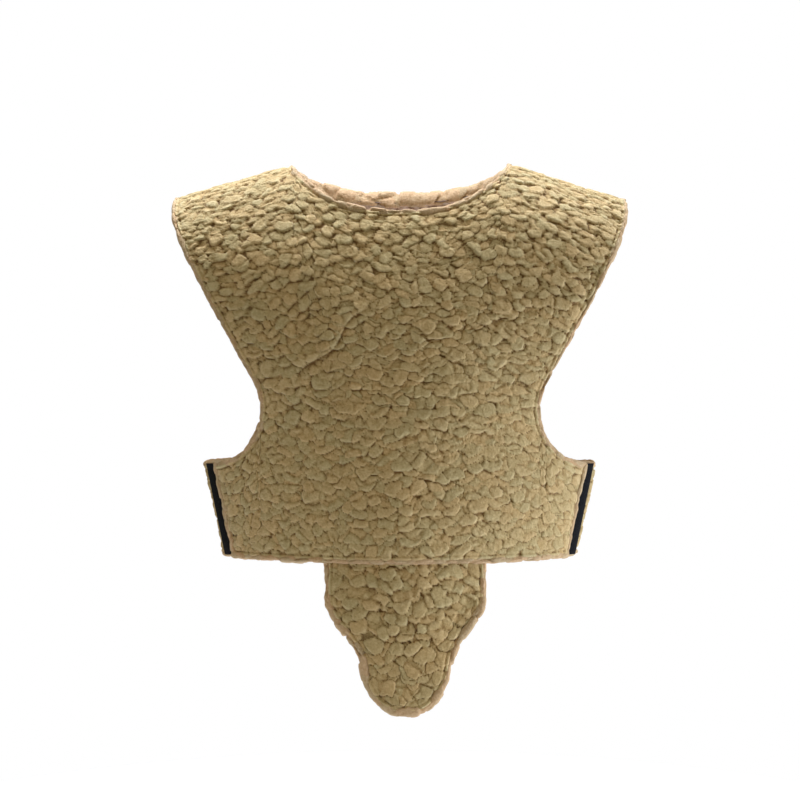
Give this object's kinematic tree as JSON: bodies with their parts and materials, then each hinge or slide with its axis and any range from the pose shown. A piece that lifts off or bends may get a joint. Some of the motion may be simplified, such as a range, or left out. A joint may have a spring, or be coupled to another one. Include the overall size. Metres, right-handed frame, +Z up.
{
  "type": "pile fleece vest",
  "caption": "Sleeveless chest and back vest of double pile fleece, with side wings joined by hook and loop tape and a tongue flap under the front hem.",
  "frame": {"origin": "between the shoulders, at the height of the neck ends of the shoulder ridges, where the vest hangs on its wearer", "axes": "+Z up, the front faces -Y, +X to the right of someone who looks at the front"},
  "size_m": [0.47, 0.2523, 0.5548],
  "materials": {
    "outer_fleece": "deep curled cream pile",
    "inner_fleece": "deep curled beige pile",
    "interlining": "pressed felt",
    "hook_tape": "black nylon hooks",
    "loop_tape": "black brushed loops",
    "thread": "brown sewing thread"
  },
  "bodies": {
    "front": {"front_outer_fleece": "outer_fleece", "front_interlining": "interlining", "front_inner_fleece": "inner_fleece", "front_neck_thread": "thread", "front_hem_thread": "thread", "front_armhole_left_thread": "thread", "front_armhole_right_thread": "thread"},
    "back": {"back_outer_fleece": "outer_fleece", "back_interlining": "interlining", "back_inner_fleece": "inner_fleece", "back_wing_left_outer_fleece": "outer_fleece", "back_wing_left_inner_fleece": "inner_fleece", "back_wing_right_outer_fleece": "outer_fleece", "back_wing_right_inner_fleece": "inner_fleece", "loop_tape_left": "loop_tape", "loop_tape_right": "loop_tape", "back_neck_thread": "thread", "back_hem_thread": "thread", "back_armhole_left_thread": "thread", "back_armhole_right_thread": "thread", "back_wing_left_thread": "thread", "back_wing_right_thread": "thread"},
    "front_wing_left": {"front_wing_left_outer_fleece": "outer_fleece", "front_wing_left_inner_fleece": "inner_fleece", "hook_tape_left": "hook_tape", "front_wing_left_thread": "thread"},
    "front_wing_right": {"front_wing_right_outer_fleece": "outer_fleece", "front_wing_right_inner_fleece": "inner_fleece", "hook_tape_right": "hook_tape", "front_wing_right_thread": "thread"},
    "tongue": {"tongue_outer_fleece": "outer_fleece", "tongue_inner_fleece": "inner_fleece", "tongue_thread": "thread"}
  },
  "joints": [
    {"name": "back_lift", "type": "hinge", "parent": "front", "child": "back", "pos_m": [0, 0, 0], "axis": [1, 0, 0], "range_deg": [0, 60]},
    {"name": "wing_left_open", "type": "hinge", "parent": "front", "child": "front_wing_left", "pos_m": [-0.141, -0.0729, -0.3335], "axis": [0, -0.1111, 0.9938], "range_deg": [0, 75]},
    {"name": "wing_right_open", "type": "hinge", "parent": "front", "child": "front_wing_right", "pos_m": [0.141, -0.0729, -0.3335], "axis": [0, 0.1111, -0.9938], "range_deg": [0, 75]},
    {"name": "tongue_swing", "type": "hinge", "parent": "front", "child": "tongue", "pos_m": [0, -0.1104, -0.4112], "axis": [-1, 0, 0], "range_deg": [0, 75]}
  ]
}
